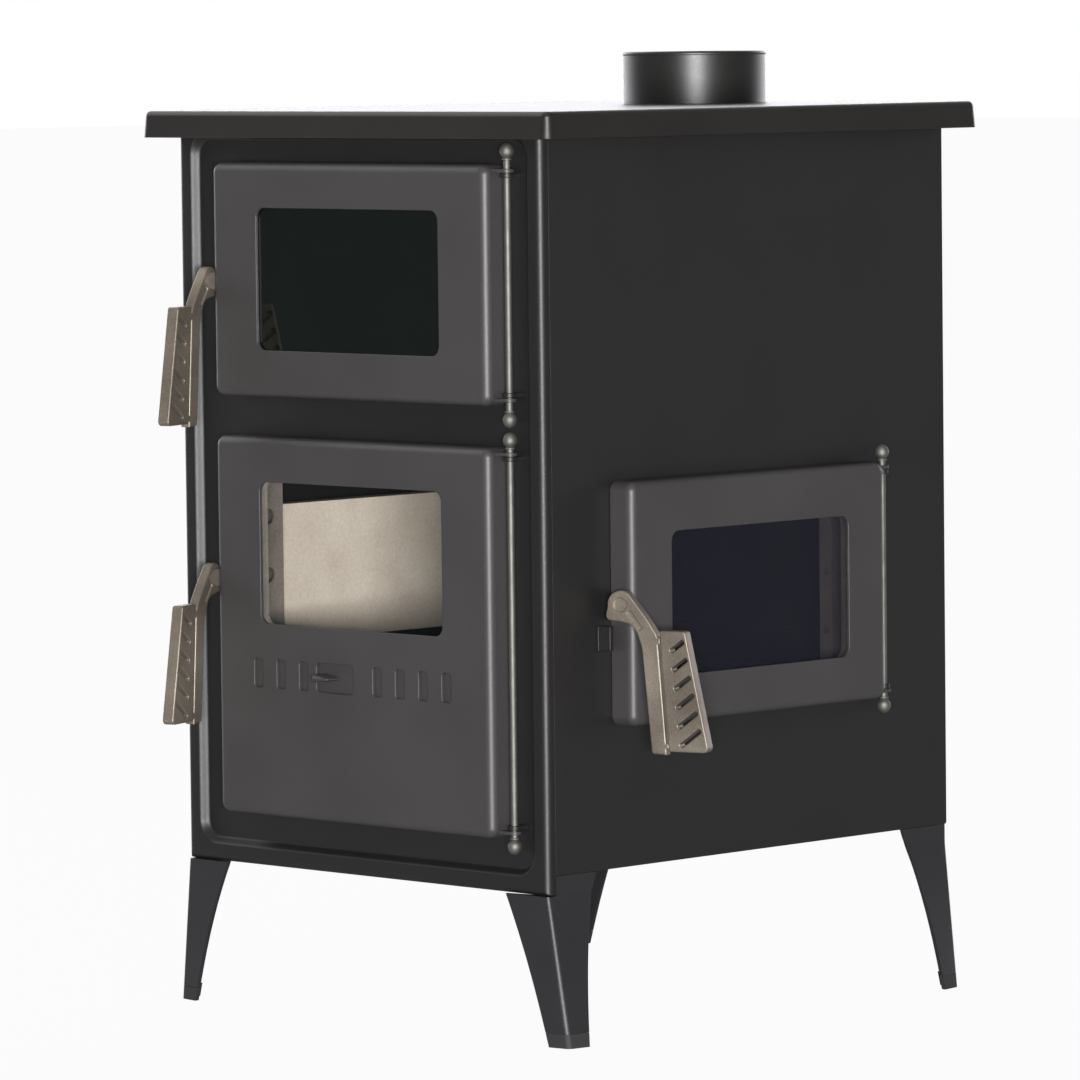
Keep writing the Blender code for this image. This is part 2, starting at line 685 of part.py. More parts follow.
def door_hinge(door, finial_standoff):
    """The fixed half of a hinge: a rod with a finial on each end, held by two brackets on the case."""
    low, high = door.bottom - finial_standoff, door.top + finial_standoff
    ball = FINIAL_RADIUS
    top = [(0.0, high + ball)]
    for degrees in (60, 30, 0, -30):
        angle = math.radians(degrees)
        top.append((ball * math.cos(angle), high + ball * math.sin(angle)))
    top.append((ROD_RADIUS, high - ball * 0.95))
    bottom = [(radius, low + high - height) for radius, height in reversed(top)]
    rod = turned(door.name + "_hinge_rod", top + bottom, (door.hinge.x, door.hinge.y), 14)
    finish(rod, CHROME, center)
    across = (door.hinge_across - 0.005, door.hinge_across + 0.005)
    out = (GAP, HINGE_STANDOFF)
    thick = 0.004
    inner_low = door.bottom + DOOR_EDGE_RADIUS + LUG_THICKNESS + 2 * GAP
    inner_high = door.top - DOOR_EDGE_RADIUS - LUG_THICKNESS - 2 * GAP - thick
    for low, place in ((inner_low, "lower"), (inner_high, "upper")):
        bracket = door.tab(f"{door.name}_bracket_{place}", across, out, 0.0055, low, low + thick,
                           ROD_RADIUS + GAP)
        finish(bracket, CASE_PAINT, center)


def handle_pivot(door, height):
    """Where a handle turns: beside the door's free edge."""
    return door.point(door.low - HANDLE_STANDOFF, DOOR_THICKNESS - HANDLE_INSET, height)


def handle(door, parent, pivot):
    """A cranked lever with a pierced grip. The lever leans a little towards the middle of the door."""
    turn = HANDLE_TILT if door.facing == "side" else HANDLE_TILT - math.pi / 2
    place = Matrix.Translation(pivot) @ Matrix.Rotation(turn, 4, "Z")
    mm = 0.001
    edge = arc((0, 0), 12.5, 25, 192, 8)
    edge += arc((-10.2, -10.2), 4.2, 165, 290, 4)
    edge += [(0, -12.6), (9, -16), (15.5, -23.5), (19.8, -36), (28.6, -124)]
    edge += arc((31.4, -124.3), 2.8, 190, 265, 2)
    edge += [(42.2, -127), (42.4, -122), (44.6, -122), (44.2, -117), (42.0, -117), (35.3, -33), (37.3, -33)]
    edge += [(36.9, -27), (34.9, -27), (33.5, -23.5), (26.5, -13), (18.5, -3)]
    arm = slab(door.name + "_handle_arm", [[(x * mm, z * mm) for x, z in edge]], -ARM_THICKNESS / 2,
               ARM_THICKNESS / 2, FRONT)
    arm.data.transform(place)
    toward_door = door.point(1, 0, 0) - door.point(0, 0, 0)
    spigot_end = pivot + toward_door * (HANDLE_STANDOFF - GAP)
    join(arm, cylinder("spigot", pivot - toward_door * 0.002, spigot_end, 0.0075, 18))
    finish(arm, NICKEL, parent)

    outline = [(37.3, -21), (61, -21)] + arc((79, -121), 3, -10, -90, 3)
    outline += [(45.2, -124), (45.0, -122), (38.0, -33)]
    slots = []
    count = 6
    for i in range(count):
        part = i / (count - 1)
        x = 47.5 + 8.5 * part
        z = -38.5 - 80.5 * part
        length = 15.0 + 8.5 * part
        dx, dz = math.cos(math.radians(37)), math.sin(math.radians(37))
        half = 2.0
        end_x, end_z = x + length * dx, z + length * dz
        slots.append([(x + half * dz, z - half * dx), (end_x + half * dz, end_z - half * dx),
                      (end_x - half * dz, end_z + half * dx), (x - half * dz, z + half * dx)])
    outlines = [[(px * mm, pz * mm) for px, pz in points] for points in [outline, *slots]]
    grip = slab(door.name + "_handle_grip", outlines, -GRIP_THICKNESS / 2, GRIP_THICKNESS / 2, FRONT)
    grip.data.transform(place)
    finish(grip, NICKEL, parent)


def keeper(door, height):
    """A small angle on the case that the handle's tongue comes down on."""
    middle = door.low - HANDLE_STANDOFF
    foot_up = (height - 0.041, height - 0.019)
    fin_up = (height - 0.0405, height - 0.0195)
    foot = door.box(door.name + "_keeper", (middle - 0.009, middle + 0.003), (GAP, 0.003), foot_up)
    fin = door.box("keeper_fin", (middle - 0.002, middle + 0.002), (0.002, 0.010), fin_up)
    finish(join(foot, fin), CASE_PAINT, center)


def air_slots(door):
    """The openings for primary air below the lower window."""
    low, high = SLOT_Z - SLOT_HEIGHT / 2, SLOT_Z + SLOT_HEIGHT / 2
    outlines = []
    for offset in SLOT_OFFSETS:
        x = door.middle + offset
        outlines.append(rounded_rectangle(x - SLOT_WIDTH / 2, x + SLOT_WIDTH / 2, low, high, 0.003, 2))
    left, right = door.middle + KNOB_WINDOW[0], door.middle + KNOB_WINDOW[1]
    outlines.append(rounded_rectangle(left, right, low, high, 0.004, 2))
    return door.slab("air_slots", outlines, DOOR_THICKNESS - 0.01, DOOR_THICKNESS + 0.01)


def air_slider(door, door_parent, parent):
    """The plate that opens and shuts the air slots, with its knob, and the two rails it runs in."""
    back_of_face = DOOR_THICKNESS - SHEET
    low, high = SLOT_Z - SLOT_HEIGHT / 2 - 0.005, SLOT_Z + SLOT_HEIGHT / 2 + 0.005
    plate_out = (back_of_face - GAP - 0.0025, back_of_face - GAP)
    plate = door.box("air_slider", (door.middle - 0.143, door.middle + 0.126), plate_out, (low, high))
    holes = []
    hole_out = (plate_out[0] - 0.01, plate_out[1] + 0.01)
    hole_up = (low + 0.006, high - 0.006)
    for offset in SLOT_OFFSETS:
        x = door.middle + offset - SLIDER_TRAVEL
        holes.append(door.box("slider_hole", (x - SLOT_WIDTH / 2, x + SLOT_WIDTH / 2), hole_out, hole_up))
    x = door.middle + KNOB_OFFSET
    near, far = KNOB_WIDTH / 2, KNOB_WIDTH / 2 - 0.002
    rings = [(near, 0.0045, plate_out[1] - 0.001), (near, 0.0045, DOOR_THICKNESS + KNOB_REACH * 0.6),
             (far, 0.0030, DOOR_THICKNESS + KNOB_REACH)]
    knob = loft("slider_knob", [[door.point(x + a, out, SLOT_Z + b) for a, b in rectangle(-w, w, -h, h)]
                                for w, h, out in rings])
    finish(cut(join(plate, knob), *holes), DOOR_PAINT, parent)
    behind = plate_out[0] - GAP
    for z, way, place in ((low, -1, "lower"), (high, 1, "upper")):
        rail_edge = sorted((z - way * 0.004, z + way * 0.005))
        rail = door.box(f"slider_rail_{place}", (door.middle - 0.150, door.middle + 0.150),
                        (behind - 0.003, behind), rail_edge)
        finish(rail, INNER_STEEL, door_parent)


def build_door(door, handle_height, finial_standoff, cutter=None):
    """One complete door on its hinge, with its handle on its own pivot."""
    swing = empty(door.name + "_axis", (door.hinge.x, door.hinge.y, door.bottom), center)
    door_shell(door, swing, cutter)
    door_glass(door, swing)
    door_hinge(door, finial_standoff)
    pivot = handle_pivot(door, handle_height)
    lift = empty(door.name + "_handle_axis", pivot, swing)
    handle(door, lift, pivot)
    keeper(door, handle_height)
    return swing


# ---------------------------------------------------------------- assembly
top_plate()
flue_collar()
front_panel()
side_panels()
rear_and_base()
legs()
baffle()
hearth()
liners()
air_posts()
ash_shelf()

pan_slide = empty("ash_pan_slide", (0, PANEL_Y, PAN_Z[0]), center)
ash_pan(pan_slide)
rib_height = oven_box()
rack_slide = empty("oven_rack_slide", (0, PANEL_Y, rib_height), center)
oven_rack(rack_slide, rib_height)

upper_door = Door("upper_door", FRONT_DOOR_X, UPPER_DOOR_Z, UPPER_WINDOW_Z, "front")
lower_door = Door("lower_door", FRONT_DOOR_X, LOWER_DOOR_Z, LOWER_WINDOW_Z, "front")
side_door = Door("side_door", SIDE_DOOR_Y, SIDE_DOOR_Z, SIDE_WINDOW_Z, "side")
build_door(upper_door, HANDLE_DROP_UPPER, FINIAL_STANDOFF)
lower_swing = build_door(lower_door, HANDLE_DROP_LOWER, 0.0072, air_slots(lower_door))
build_door(side_door, HANDLE_DROP_SIDE, SIDE_FINIAL_STANDOFF)
slider_place = lower_door.point(lower_door.middle, DOOR_THICKNESS, SLOT_Z)
slider_slide = empty("air_slider_slide", slider_place, lower_swing)
air_slider(lower_door, lower_swing, slider_slide)

# ---------------------------------------------------------------- centre the stove on its footprint
bpy.context.view_layer.update()
corners = [piece.matrix_world @ Vector(corner) for piece in stove.objects if piece.type == "MESH"
           for corner in piece.bound_box]
for axis in (0, 1):
    values = [corner[axis] for corner in corners]
    center.location[axis] = -(min(values) + max(values)) / 2
bpy.context.view_layer.update()
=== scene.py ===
"""Wood burning stove with an oven: the sheet metal, doors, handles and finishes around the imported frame.

Everything is in metres in the frame's own directions: +Z is up, the front faces -Y and the loading door +X.
A shape is a set of rings: an outline carried along a profile of (inset, out) pairs, closed by level faces.
"""

import json
import math

import bmesh
import bpy
import numpy as np
from mathutils import Matrix, Vector
from mathutils.geometry import tessellate_polygon


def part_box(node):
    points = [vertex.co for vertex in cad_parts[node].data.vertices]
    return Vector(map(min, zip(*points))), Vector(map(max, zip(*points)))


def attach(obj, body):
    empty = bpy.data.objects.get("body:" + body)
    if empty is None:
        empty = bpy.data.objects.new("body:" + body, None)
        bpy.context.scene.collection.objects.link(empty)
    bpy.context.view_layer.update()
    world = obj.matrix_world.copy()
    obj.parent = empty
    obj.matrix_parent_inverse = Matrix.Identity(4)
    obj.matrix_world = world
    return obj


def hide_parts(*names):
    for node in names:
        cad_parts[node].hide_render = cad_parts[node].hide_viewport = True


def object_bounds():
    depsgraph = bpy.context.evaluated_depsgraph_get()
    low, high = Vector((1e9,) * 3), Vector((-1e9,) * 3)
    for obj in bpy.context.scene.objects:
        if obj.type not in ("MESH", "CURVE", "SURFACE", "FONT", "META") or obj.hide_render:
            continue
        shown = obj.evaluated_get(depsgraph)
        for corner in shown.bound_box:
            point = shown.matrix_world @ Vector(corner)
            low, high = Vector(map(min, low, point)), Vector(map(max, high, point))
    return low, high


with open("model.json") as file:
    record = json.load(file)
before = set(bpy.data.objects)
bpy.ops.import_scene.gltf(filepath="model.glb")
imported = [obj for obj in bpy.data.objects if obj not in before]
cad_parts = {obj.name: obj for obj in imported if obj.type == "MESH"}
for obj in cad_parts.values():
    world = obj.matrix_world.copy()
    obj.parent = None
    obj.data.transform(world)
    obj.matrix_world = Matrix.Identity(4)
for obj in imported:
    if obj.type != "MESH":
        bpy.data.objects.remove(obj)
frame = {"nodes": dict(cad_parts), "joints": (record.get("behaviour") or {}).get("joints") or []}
CAD_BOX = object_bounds()

MM = 0.001
GAP = 0.3 * MM               # clearance between pieces that touch
SHEET = 3 * MM               # case and door sheet
DOOR_THICKNESS = 26 * MM
SEAL_INSET = 3.5 * MM        # rope seal in from the door's edge
GLASS_LAP = 10 * MM          # pane behind the window's edge
HINGE_OFFSET = 12 * MM       # hinge rod from the door's edge


# ---------------------------------------------------------------- outlines
def arc(center, radius, start, end, steps):
    """Points on a circle between two angles in degrees, ends included."""
    angle = np.radians(np.linspace(start, end, steps + 1))
    return np.column_stack((center[0] + radius * np.cos(angle), center[1] + radius * np.sin(angle)))


def rounded(left, right, low, high, radius, steps=6):
    """Rectangle with a quarter circle on each corner. An inset moves its sides in and shortens the radius."""

    def outline(inset):
        curve = max(radius - inset, 0.1 * MM)
        x0, x1 = left + inset + curve, right - inset - curve
        z0, z1 = low + inset + curve, high - inset - curve
        corners = ((x0, z0, 180), (x1, z0, 270), (x1, z1, 360), (x0, z1, 450))
        return np.concatenate([arc((x, z), curve, start, start + 90, steps) for x, z, start in corners])

    return outline


def circle(center, radius, steps=48):
    """Full circle. An inset shortens its radius."""
    return lambda inset: arc(center, radius - inset, 0, 360 - 360 / steps, steps - 1)


def shifted_in(points, inset):
    """Every corner of a closed line moved inwards along the bisector of its two edges."""
    edge = np.roll(points, -1, axis=0) - points
    edge /= np.linalg.norm(edge, axis=1)[:, None]
    inward = np.column_stack((-edge[:, 1], edge[:, 0]))
    before = np.roll(inward, 1, axis=0)
    bisector = inward + before
    bisector /= (1 + np.sum(inward * before, axis=1))[:, None].clip(0.3)
    return points + bisector * inset


def traced(corners, fillet, steps=4):
    """Polygon with each corner replaced by a parabola that starts and ends fillet away from it, or less
    where an edge is short: point(t) = (1-t)^2 start + 2t(1-t) corner + t^2 end."""
    corner = np.array(corners, float) * MM
    to_next = np.roll(corner, -1, axis=0) - corner
    to_last = np.roll(corner, 1, axis=0) - corner
    reach = np.full(len(corner), 1.0) * np.array(fillet) * MM
    ends = []
    for way in (to_last, to_next):
        length = np.linalg.norm(way, axis=1)
        ends.append(corner + way * (np.minimum(reach, 0.45 * length) / length)[:, None])
    t = np.linspace(0, 1, steps + 1)[None, :, None]
    start, end = ends[0][:, None], ends[1][:, None]
    points = ((1 - t) ** 2 * start + 2 * t * (1 - t) * corner[:, None] + t ** 2 * end).reshape(-1, 2)
    after = np.roll(points, -1, axis=0)
    if np.sum(points[:, 0] * after[:, 1] - after[:, 0] * points[:, 1]) < 0:
        points = points[::-1]
    return lambda inset: shifted_in(points, inset)


def bend(radius, face, way=1, steps=5):
    """(inset, out) pairs of a quarter circle from a face, given by its height, to the side wall. Way -1 makes
    a back edge."""
    t = np.radians(np.linspace(0, 90, steps + 1))
    pairs = np.column_stack((radius * (1 - np.sin(t)), face - way * radius * (1 - np.cos(t))))
    return pairs[::way]


def wall(front, back, radius, back_radius=None):
    """A plate's edge from its front face, round the edge to its back face."""
    return np.concatenate((bend(radius, front), bend(back_radius or radius, back, -1)))


# ---------------------------------------------------------------- surfaces
class Skin:
    """Points and faces of one surface, in the directions (across, up, out)."""

    def __init__(self):
        self.points = np.empty((0, 3))
        self.faces = []

    def rings(self, grid):
        """Quads between neighbouring closed rings of a (ring, point, 3) array. Gives the points' numbers."""
        first = len(self.points)
        self.points = np.concatenate((self.points, grid.reshape(-1, 3)))
        number = first + np.arange(grid.shape[0] * grid.shape[1]).reshape(grid.shape[:2])
        after = np.roll(number, -1, axis=1)
        self.faces.append(np.stack((number[:-1], after[:-1], after[1:], number[1:]), -1).reshape(-1, 4))
        return number

    def carried(self, outline, profile, sign=1):
        """An outline carried along a profile: ring i is the outline with the i-th inset, at the i-th height.
        sign -1 is a hole, whose inset goes into the plate around it."""
        flat = [outline(sign * inset) for inset, _ in profile]
        return self.rings(np.array([np.column_stack((ring, np.full(len(ring), out)))
                                    for ring, (_, out) in zip(flat, profile)]))

    def level(self, edge, *holes):
        """Triangles of the level area inside one ring of point numbers and outside the others."""
        loops = [edge, *holes]
        corners = tessellate_polygon([np.column_stack((self.points[ring][:, :2], 0 * ring)).tolist()
                                      for ring in loops])
        self.faces.append(np.concatenate(loops)[np.array(corners)])


def plate(edge, holes, profile, hole_profile, pockets=(), pocket_profile=None, back_pockets=False):
    """A flat piece: an outer edge, holes right through it and blind pockets in its face, or in both faces."""
    skin = Skin()
    outer = skin.carried(edge, profile)
    inner = [skin.carried(hole, hole_profile, -1) for hole in holes]
    sunk = [skin.carried(pocket, pocket_profile, -1) for pocket in pockets]
    for ring in sunk:
        skin.level(ring[-1])
    skin.level(outer[0], *[ring[0] for ring in inner + sunk])
    rear = []
    if back_pockets:
        middle = profile[0][1] + profile[-1][1]
        mirrored = [(inset, middle - out) for inset, out in pocket_profile]
        rear = [skin.carried(pocket, mirrored, -1) for pocket in pockets]
        for ring in rear:
            skin.level(ring[-1])
    skin.level(outer[-1], *[ring[-1] for ring in inner], *[ring[0] for ring in rear])
    return skin


def turned(profile, steps=40):
    """Rings of (radius, height) pairs about the out direction. A radius of nought closes a pole."""
    angle = np.linspace(0, 2 * np.pi, steps, endpoint=False)
    radius, height = np.array(profile, float).T
    skin = Skin()
    skin.rings(np.stack((radius[:, None] * np.cos(angle), radius[:, None] * np.sin(angle),
                         np.repeat(height[:, None], steps, 1)), -1))
    return skin


def upright(plane):
    """Places a shape on a plane that faces the front: across is X, up is Z, out is -Y."""
    return lambda p: np.column_stack((p[:, 0], plane - p[:, 2], p[:, 1]))


def sideways(plane):
    """Places a shape on a plane that faces the loading side: across is Y, up is Z, out is X."""
    return lambda p: np.column_stack((plane + p[:, 2], p[:, 0], p[:, 1]))


def lying(x=0.0, y=0.0, z=0.0):
    """Places a shape level: across is X, up is Y, out is Z."""
    return lambda p: p + np.array((x, y, z))


def made(name, skins, body, finish, stands_for=(), crease=50):
    """One welded mesh of placed skins, facing outwards, riding on its body with its finish."""
    points, faces, first = [], [], 0
    for skin, place in skins:
        points.append(place(skin.points))
        faces += [face + first for face in skin.faces]
        first += len(skin.points)
    sizes = np.concatenate([np.full(len(face), face.shape[1]) for face in faces])
    mesh = bpy.data.meshes.new(name)
    mesh.vertices.add(first)
    mesh.vertices.foreach_set("co", np.concatenate(points).astype(np.float32).ravel())
    mesh.loops.add(int(sizes.sum()))
    mesh.loops.foreach_set("vertex_index", np.concatenate([face.ravel() for face in faces]).astype(np.int32))
    mesh.polygons.add(len(sizes))
    mesh.polygons.foreach_set("loop_start", (np.cumsum(sizes) - sizes).astype(np.int32))
    mesh.update(calc_edges=True)
    weld(mesh)
    mesh.shade_smooth()
    mesh.set_sharp_from_angle(angle=math.radians(crease))
    piece = bpy.data.objects.new(name, mesh)
    bpy.context.scene.collection.objects.link(piece)
    even = piece.modifiers.new("even_shading", "WEIGHTED_NORMAL")
    even.keep_sharp = True
    mesh.materials.append(finish)
    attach(piece, body)
    if stands_for:
        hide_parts(*stands_for)
    return piece


def weld(mesh):
    """Joins points that coincide, drops what has no area, and turns the faces outwards."""
    work = bmesh.new()
    work.from_mesh(mesh)
    bmesh.ops.remove_doubles(work, verts=work.verts, dist=0.005 * MM)
    bmesh.ops.dissolve_degenerate(work, edges=work.edges, dist=0.001 * MM)
    bmesh.ops.recalc_face_normals(work, faces=work.faces)
    work.to_mesh(mesh)
    work.free()


# ---------------------------------------------------------------- finishes
def linear(code):
    """An sRGB hex colour as linear red, green, blue and alpha."""
    part = np.array([int(code[i:i + 2], 16) for i in (1, 3, 5)]) / 255
    flat = np.where(part <= 0.04045, part / 12.92, ((part + 0.055) / 1.055) ** 2.4)
    return (*flat.tolist(), 1.0)


def per(size):
    """Pattern scale for a feature of that many millimetres."""
    return 1 / (size * MM)


def node(tree, kind, inputs=None, **settings):
    """Adds a node: settings are its own, inputs are socket values or the outputs linked to them."""
    added = tree.nodes.new(kind)
    for key, value in settings.items():
        setattr(added, key, value)
    for key, value in (inputs or {}).items():
        if isinstance(value, bpy.types.NodeSocket):
            tree.links.new(value, added.inputs[key])
        else:
            added.inputs[key].default_value = value
    return added


def finish_of(name):
    """A new material with its tree, its shader and the object's own coordinates."""
    material = bpy.data.materials.new(name)
    material.use_nodes = True
    tree = material.node_tree
    shader = tree.nodes["Principled BSDF"]
    place = node(tree, "ShaderNodeTexCoord").outputs["Object"]
    return material, tree, shader, place


def blended(tree, shader, socket, amount, first, second):
    """Runs a colour or a number between two values by an amount from 0 to 1."""
    if isinstance(first, str):
        mix = node(tree, "ShaderNodeMix", {0: amount, 6: linear(first), 7: linear(second)}, data_type="RGBA")
        tree.links.new(mix.outputs[2], shader.inputs[socket])
    else:
        span = node(tree, "ShaderNodeMapRange", {"Value": amount, "To Min": first, "To Max": second})
        tree.links.new(span.outputs[0], shader.inputs[socket])


def sprayed_paint(name, dark, light, rough, grain, relief):
    """Heat-resistant silicone paint, sprayed on sheet steel and stoved: near-black with a soft sheen, a fine
    dry grain that breaks up the gleam, and faint clouds where the coats overlap."""
    material, tree, shader, place = finish_of(name)
    cloud = node(tree, "ShaderNodeTexNoise", {"Vector": place, "Scale": per(90), "Detail": 3.0})
    speck = node(tree, "ShaderNodeTexNoise", {"Vector": place, "Scale": per(grain), "Detail": 2.0,
                                              "Roughness": 0.6})
    both = node(tree, "ShaderNodeMix", {0: 0.45, 2: cloud.outputs[0], 3: speck.outputs[0]}, data_type="FLOAT")
    spread = node(tree, "ShaderNodeMapRange", {"Value": both.outputs[0], "From Min": 0.3, "From Max": 0.7})
    blended(tree, shader, "Base Color", spread.outputs[0], dark, light)
    blended(tree, shader, "Roughness", speck.outputs[0], rough - 0.08, rough + 0.08)
    bump = node(tree, "ShaderNodeBump", {"Height": speck.outputs[0], "Strength": 0.5,
                                         "Distance": relief * MM})
    tree.links.new(bump.outputs[0], shader.inputs["Normal"])
    return material


def drawn_metal(name, dark, light, rough, streak_mm, relief, along="Z"):
    """Metal rubbed or drawn in one direction: fine lines along it stretch the gleam across them."""
    material, tree, shader, place = finish_of(name)
    squeeze = {"X": (0.04, 1, 1), "Y": (1, 0.04, 1), "Z": (1, 1, 0.04)}[along]
    stretched = node(tree, "ShaderNodeMapping", {"Vector": place, "Scale": squeeze})
    line = node(tree, "ShaderNodeTexNoise", {"Vector": stretched.outputs[0], "Scale": per(streak_mm),
                                             "Detail": 3.0})
    patch = node(tree, "ShaderNodeTexNoise", {"Vector": place, "Scale": per(12), "Detail": 2.0})
    blended(tree, shader, "Base Color", patch.outputs[0], dark, light)
    blended(tree, shader, "Roughness", line.outputs[0], rough - 0.1, rough + 0.12)
    shader.inputs["Metallic"].default_value = 1.0
    bump = node(tree, "ShaderNodeBump", {"Height": line.outputs[0], "Strength": 0.4, "Distance": relief * MM})
    tree.links.new(bump.outputs[0], shader.inputs["Normal"])
    return material


def grainy(name, dark, light, rough, grain, relief, metallic=0.0, contrast=(0.35, 0.65)):
    """A cast, pressed or fibrous matt surface: noise of the grain's size colours, roughens and raises it."""
    material, tree, shader, place = finish_of(name)
    grit = node(tree, "ShaderNodeTexNoise", {"Vector": place, "Scale": per(grain), "Detail": 6.0,
                                             "Roughness": 0.65})
    stain = node(tree, "ShaderNodeTexNoise", {"Vector": place, "Scale": per(55), "Detail": 4.0})
    both = node(tree, "ShaderNodeMix", {0: 0.5, 2: grit.outputs[0], 3: stain.outputs[0]}, data_type="FLOAT")
    spread = node(tree, "ShaderNodeMapRange", {"Value": both.outputs[0], "From Min": contrast[0],
                                               "From Max": contrast[1]})
    blended(tree, shader, "Base Color", spread.outputs[0], dark, light)
    blended(tree, shader, "Roughness", grit.outputs[0], rough - 0.1, min(rough + 0.1, 1.0))
    shader.inputs["Metallic"].default_value = metallic
    bump = node(tree, "ShaderNodeBump", {"Height": grit.outputs[0], "Strength": 0.7, "Distance": relief * MM})
    tree.links.new(bump.outputs[0], shader.inputs["Normal"])
    return material


def ceramic_glass(name, tint, soot, opacity):
    """Heat-proof glass ceramic, rolled: a smoky pane with a mirror-smooth face and a faint haze of soot. The
    opacity lays its dark tint over what is behind it; on the oven pane this is painted shade standing in for
    the dark space behind."""
    material, tree, shader, place = finish_of(name)
    haze = node(tree, "ShaderNodeTexNoise", {"Vector": place, "Scale": per(60), "Detail": 4.0})
    blended(tree, shader, "Base Color", haze.outputs[0], tint, soot)
    blended(tree, shader, "Roughness", haze.outputs[0], 0.02, 0.08)
    shader.inputs["Alpha"].default_value = opacity
    shader.inputs["IOR"].default_value = 1.54
    return material


def braided_rope(name):
    """Glass-fibre rope, braided: soft, off-white, with slanted strands about 3 mm apart."""
    material, tree, shader, place = finish_of(name)
    strand = node(tree, "ShaderNodeTexWave", {"Vector": place, "Scale": per(3) / 3, "Distortion": 1.5},
                  bands_direction="DIAGONAL")
    blended(tree, shader, "Base Color", strand.outputs["Fac"], "#8d887b", "#cfcabb")
    bump = node(tree, "ShaderNodeBump", {"Height": strand.outputs["Fac"], "Strength": 0.8,
                                         "Distance": 0.5 * MM})
    tree.links.new(bump.outputs[0], shader.inputs["Normal"])
    shader.inputs["Roughness"].default_value = 0.95
    return material


CASE_PAINT = sprayed_paint("case_silicone_paint_sprayed", "#151414", "#1b1a1a", 0.47, 1.6, 0.04)
# The front's copy of the case paint is darker than the sides': painted shade, because the front face takes
# less light.
FRONT_PAINT_WITH_PAINTED_SHADE = sprayed_paint("front_silicone_paint_sprayed", "#121111", "#181717", 0.47, 1.6, 0.04)
LEG_PAINT = sprayed_paint("leg_silicone_paint_sprayed", "#1d1d1f", "#252528", 0.47, 1.6, 0.04)
PLATE_PAINT = sprayed_paint("plate_silicone_paint_sprayed", "#161412", "#1e1c1a", 0.40, 1.6, 0.04)
DOOR_PAINT = sprayed_paint("door_silicone_paint_sprayed", "#323030", "#3c3a3a", 0.46, 1.4, 0.04)
COLLAR_PAINT = sprayed_paint("collar_satin_enamel", "#1a1918", "#232221", 0.40, 1.2, 0.02)
CHROME = drawn_metal("hinge_steel_chromed", "#6d6c67", "#888782", 0.62, 0.7, 0.01)
PEWTER = grainy("handle_zinc_cast_nickel_plated", "#645c52", "#9a9083", 0.48, 1.1, 0.06, metallic=0.65)
CAST_IRON = grainy("firebox_cast_iron", "#1b1a19", "#2b2826", 0.80, 1.8, 0.25, metallic=0.2)
STEEL = grainy("firebox_sheet_steel_heat_tinted", "#7a716a", "#a39a90", 0.60, 2.5, 0.08, metallic=0.3)
BOARD = grainy("wall_vermiculite_board_pressed", "#c4b6a5", "#dfd4c4", 0.95, 3.0, 0.35)
RUBBER = grainy("foot_rubber_moulded", "#202020", "#2b2b2b", 0.70, 0.8, 0.05)
# The oven pane is near-black and nearly opaque: painted shade for the dark oven behind it.
OVEN_GLASS_WITH_PAINTED_SHADE = ceramic_glass("oven_pane_glass_ceramic_rolled", "#010604", "#070f0c", 0.90)
FIRE_GLASS = ceramic_glass("fire_pane_glass_ceramic_rolled", "#0b1113", "#1a2023", 0.08)
SIDE_GLASS = ceramic_glass("side_pane_glass_ceramic_rolled", "#101122", "#191a25", 0.42)
ROPE = braided_rope("seal_glass_rope_braided")


# ---------------------------------------------------------------- case
def box_of(name):
    """Lowest and highest corner of a CAD node as two arrays."""
    low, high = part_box(name)
    return np.array(low), np.array(high)


PANEL_LOW, PANEL_HIGH = box_of("front_panel")
MIDDLE_X = (PANEL_LOW[0] + PANEL_HIGH[0]) / 2
FRONT_Y = PANEL_LOW[1]
RECESS = 7 * MM
BORDER = 14.5 * MM           # width of the front's border, up to its step
PANEL_PLANE = FRONT_Y + RECESS
SIDE_PLANE = box_of("side_panel_right")[1][0]
DOOR_LAP = 16.5 * MM


class Door:
    """Where one door lies, read from its CAD nodes, and how its own directions map to the stove."""

    def __init__(self, name, facing, plane):
        self.name = name
        self.axis = 0 if facing == "front" else 1
        self.place = upright(plane) if facing == "front" else sideways(plane)
        self.plane = plane
        self.facing = facing
        shell = box_of(name + "_shell")
        seal = box_of(name + "_seal")
        pane = box_of(name + "_glass")
        rod = box_of(name + "_hinge_rod")
        self.low, self.high = shell[0][self.axis], seal[1][self.axis] + SEAL_INSET
        self.bottom, self.top = shell[0][2], shell[1][2]
        self.window = (pane[0][self.axis] + GLASS_LAP, pane[1][self.axis] - GLASS_LAP,
                       pane[0][2] + GLASS_LAP, pane[1][2] - GLASS_LAP)
        self.hinge = (rod[0] + rod[1]) / 2
        self.rod = (rod[0][2], rod[1][2])
        self.hinge_out = abs(self.hinge[1 - self.axis] - plane)

    def hinge_level(self, z):
        """Places a level shape laid out from the hinge axis: across runs away from the door, up runs out."""
        turn = 0 if self.facing == "front" else math.pi / 2
        flip = np.array(((math.cos(turn), math.sin(turn)), (math.sin(turn), -math.cos(turn))))
        return lambda p: np.column_stack((p[:, :2] @ flip.T + self.hinge[:2], z + p[:, 2]))


UPPER = Door("upper_door", "front", PANEL_PLANE)
LOWER = Door("lower_door", "front", PANEL_PLANE)
SIDE = Door("side_door", "side", SIDE_PLANE)


def opening(door):
    """The hole that a door closes."""
    return rounded(door.low + DOOR_LAP, door.high - DOOR_LAP, door.bottom + DOOR_LAP, door.top - DOOR_LAP,
                   6 * MM)


